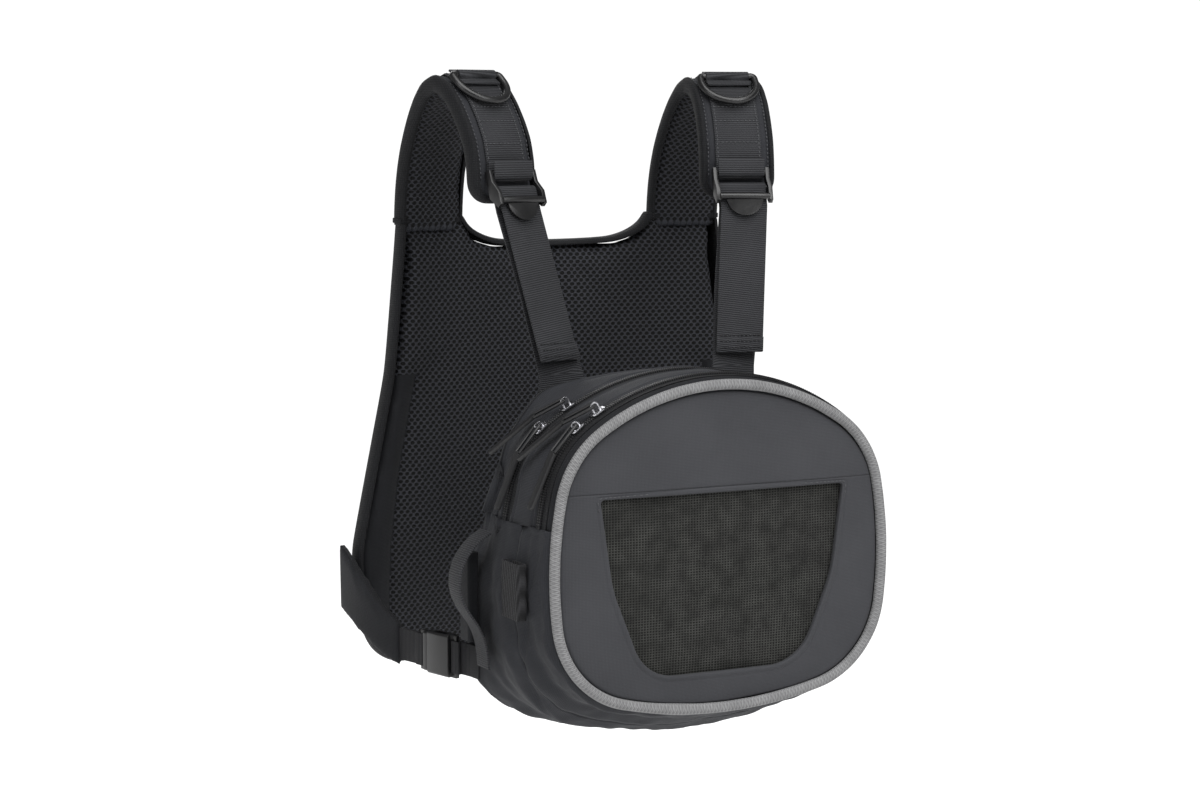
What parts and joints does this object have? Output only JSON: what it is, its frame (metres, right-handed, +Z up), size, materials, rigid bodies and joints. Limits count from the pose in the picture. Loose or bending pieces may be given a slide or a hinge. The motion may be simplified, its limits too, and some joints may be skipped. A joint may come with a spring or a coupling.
{
  "type": "fishing vest",
  "caption": "Chest-pack fishing vest: padded mesh back panel with shoulder straps that carry a two-compartment zipped front pack with a mesh window and tool loops.",
  "frame": {"origin": "midway between the two shoulder crests, on the underside of the straps", "axes": "+Z up, -Y towards the wearer's front, +X towards the wearer's left"},
  "size_m": [0.402, 0.3048, 0.5105],
  "materials": {
    "spacer_mesh": "3-D spacer mesh with oval cells",
    "foam": "closed-cell foam",
    "charcoal_fabric": "coated woven polyester",
    "face_fabric": "moulded woven polyester over foam",
    "window_mesh": "fine open-weave mesh",
    "grey_piping": "braided reflective-grey piping",
    "stiffener_sheet": "polyethylene sheet",
    "black_webbing": "ribbed woven webbing",
    "ribbed_elastic": "ribbed elastic tape",
    "black_plastic": "moulded acetal, satin to gloss",
    "zip_coil": "nylon coil and tape",
    "zip_metal": "plated zinc slider",
    "zip_pull": "cord with moulded tab"
  },
  "bodies": {
    "harness": {"back_mesh_liner": "spacer_mesh", "back_foam_core": "foam", "back_outer_panel": "charcoal_fabric", "pack_back_wall": "charcoal_fabric", "pack_back_stiffener": "stiffener_sheet", "main_shell": "charcoal_fabric", "main_zip_rear_tape": "zip_coil", "main_side_gussets": "charcoal_fabric", "tool_sleeve": "charcoal_fabric", "tool_loop": "black_webbing", "shoulder_lining_left": "spacer_mesh", "shoulder_pad_left": "charcoal_fabric", "shoulder_webbing_left": "black_webbing", "d_ring_keeper_left": "black_webbing", "front_strap_left": "black_webbing", "waist_wing_left": "charcoal_fabric", "waist_web_rear_left": "black_webbing", "waist_web_front_left": "black_webbing", "waist_buckle_socket_left": "black_plastic", "shoulder_lining_right": "spacer_mesh", "shoulder_pad_right": "charcoal_fabric", "shoulder_webbing_right": "black_webbing", "d_ring_keeper_right": "black_webbing", "front_strap_right": "black_webbing", "waist_wing_right": "charcoal_fabric", "waist_web_rear_right": "black_webbing", "waist_web_front_right": "black_webbing", "waist_buckle_socket_right": "black_plastic"},
    "main_cover": {"middle_shell": "charcoal_fabric", "compartment_divider": "charcoal_fabric", "main_zip_front_tape": "zip_coil", "front_zip_rear_tape": "zip_coil", "front_side_gussets": "charcoal_fabric", "elastic_sleeve": "ribbed_elastic"},
    "front_cover": {"front_gusset": "charcoal_fabric", "face_panel": "face_fabric", "window_mesh": "window_mesh", "face_piping": "grey_piping", "front_zip_front_tape": "zip_coil"},
    "d_ring_left": {"d_ring_left": "black_plastic"},
    "ladder_lock_left": {"ladder_lock_left": "black_plastic"},
    "buckle_plug_left": {"waist_buckle_plug_left": "black_plastic"},
    "upper_prong_left": {"waist_buckle_upper_prong_left": "black_plastic"},
    "lower_prong_left": {"waist_buckle_lower_prong_left": "black_plastic"},
    "d_ring_right": {"d_ring_right": "black_plastic"},
    "ladder_lock_right": {"ladder_lock_right": "black_plastic"},
    "buckle_plug_right": {"waist_buckle_plug_right": "black_plastic"},
    "upper_prong_right": {"waist_buckle_upper_prong_right": "black_plastic"},
    "lower_prong_right": {"waist_buckle_lower_prong_right": "black_plastic"},
    "main_zip_top_slider": {"main_zip_top_slider": "zip_metal"},
    "main_zip_top_pull": {"main_zip_top_pull": "zip_pull"},
    "main_zip_side_slider": {"main_zip_side_slider": "zip_metal"},
    "main_zip_side_pull": {"main_zip_side_pull": "zip_pull"},
    "front_zip_top_slider": {"front_zip_top_slider": "zip_metal"},
    "front_zip_top_pull": {"front_zip_top_pull": "zip_pull"},
    "front_zip_side_slider": {"front_zip_side_slider": "zip_metal"},
    "front_zip_side_pull": {"front_zip_side_pull": "zip_pull"}
  },
  "joints": [
    {"name": "main_cover_hinge", "type": "hinge", "parent": "harness", "child": "main_cover", "pos_m": [0, -0.142, -0.4825], "axis": [1, 0, 0], "range_deg": [0, 35], "deforming": ["main_side_gussets"]},
    {"name": "front_cover_hinge", "type": "hinge", "parent": "main_cover", "child": "front_cover", "pos_m": [0, -0.192, -0.4665], "axis": [1, 0, 0], "range_deg": [0, 40], "deforming": ["front_side_gussets"]},
    {"name": "main_zip_top_travel", "type": "hinge", "parent": "harness", "child": "main_zip_top_slider", "pos_m": [0, -0.142, -0.403], "axis": [0, 1, 0], "range_deg": [0, 60]},
    {"name": "main_zip_side_travel", "type": "hinge", "parent": "harness", "child": "main_zip_side_slider", "pos_m": [-0.06419, -0.142, -0.31367], "axis": [0, -1, 0], "range_deg": [0, 15]},
    {"name": "front_zip_top_travel", "type": "hinge", "parent": "main_cover", "child": "front_zip_top_slider", "pos_m": [0, -0.192, -0.402], "axis": [0, 1, 0], "range_deg": [0, 60]},
    {"name": "front_zip_side_travel", "type": "hinge", "parent": "main_cover", "child": "front_zip_side_slider", "pos_m": [-0.06149, -0.192, -0.30959], "axis": [0, -1, 0], "range_deg": [0, 20]},
    {"name": "main_zip_top_pull_swing", "type": "hinge", "parent": "main_zip_top_slider", "child": "main_zip_top_pull", "pos_m": [-0.0997, -0.142, -0.23031], "axis": [0.433, 0.866, 0.25], "range_deg": [0, 90]},
    {"name": "main_zip_side_pull_swing", "type": "hinge", "parent": "main_zip_side_slider", "child": "main_zip_side_pull", "pos_m": [-0.12137, -0.142, -0.2481], "axis": [0, 1, 0], "range_deg": [0, 90]},
    {"name": "front_zip_top_pull_swing", "type": "hinge", "parent": "front_zip_top_slider", "child": "front_zip_top_pull", "pos_m": [-0.0997, -0.192, -0.22931], "axis": [0.433, 0.866, 0.25], "range_deg": [0, 90]},
    {"name": "front_zip_side_pull_swing", "type": "hinge", "parent": "front_zip_side_slider", "child": "front_zip_side_pull", "pos_m": [-0.11566, -0.192, -0.24279], "axis": [0, 1, 0], "range_deg": [0, 90]},
    {"name": "d_ring_swing_left", "type": "hinge", "parent": "harness", "child": "d_ring_left", "pos_m": [0.11246, -0.01156, 0.01228], "axis": [-0.972, 0.2348, 0], "range_deg": [0, 150]},
    {"name": "ladder_lock_tilt_left", "type": "hinge", "parent": "harness", "child": "ladder_lock_left", "pos_m": [0.10187, -0.05406, -0.06475], "axis": [-0.9655, 0.2604, 0], "range_deg": [0, 30], "deforming": ["front_strap_left"]},
    {"name": "waist_buckle_release_left", "type": "slide", "parent": "harness", "child": "buckle_plug_left", "axis": [0.2588, 0.9659, 0], "range_m": [0, 0.022], "deforming": ["waist_web_rear_left"]},
    {"name": "upper_prong_press_left", "type": "hinge", "parent": "buckle_plug_left", "child": "upper_prong_left", "pos_m": [0.17209, -0.05799, -0.42], "axis": [0.9659, -0.2588, 0], "range_deg": [0, 6], "stiffness_Nm_per_rad": 0.002},
    {"name": "lower_prong_press_left", "type": "hinge", "parent": "buckle_plug_left", "child": "lower_prong_left", "pos_m": [0.17209, -0.05799, -0.44], "axis": [-0.9659, 0.2588, 0], "range_deg": [0, 6], "stiffness_Nm_per_rad": 0.002},
    {"name": "d_ring_swing_right", "type": "hinge", "parent": "harness", "child": "d_ring_right", "pos_m": [-0.11246, -0.01156, 0.01228], "axis": [-0.972, -0.2348, 0], "range_deg": [0, 150]},
    {"name": "ladder_lock_tilt_right", "type": "hinge", "parent": "harness", "child": "ladder_lock_right", "pos_m": [-0.10187, -0.05406, -0.06475], "axis": [-0.9655, -0.2604, 0], "range_deg": [0, 30], "deforming": ["front_strap_right"]},
    {"name": "waist_buckle_release_right", "type": "slide", "parent": "harness", "child": "buckle_plug_right", "axis": [-0.2588, 0.9659, 0], "range_m": [0, 0.022], "deforming": ["waist_web_rear_right"]},
    {"name": "upper_prong_press_right", "type": "hinge", "parent": "buckle_plug_right", "child": "upper_prong_right", "pos_m": [-0.17209, -0.05799, -0.42], "axis": [0.9659, 0.2588, 0], "range_deg": [0, 6], "stiffness_Nm_per_rad": 0.002},
    {"name": "lower_prong_press_right", "type": "hinge", "parent": "buckle_plug_right", "child": "lower_prong_right", "pos_m": [-0.17209, -0.05799, -0.44], "axis": [-0.9659, -0.2588, 0], "range_deg": [0, 6], "stiffness_Nm_per_rad": 0.002}
  ],
  "couplings": [
    {"joint": "lower_prong_press_left", "follows": "upper_prong_press_left", "ratio": 1},
    {"joint": "lower_prong_press_right", "follows": "upper_prong_press_right", "ratio": 1}
  ]
}
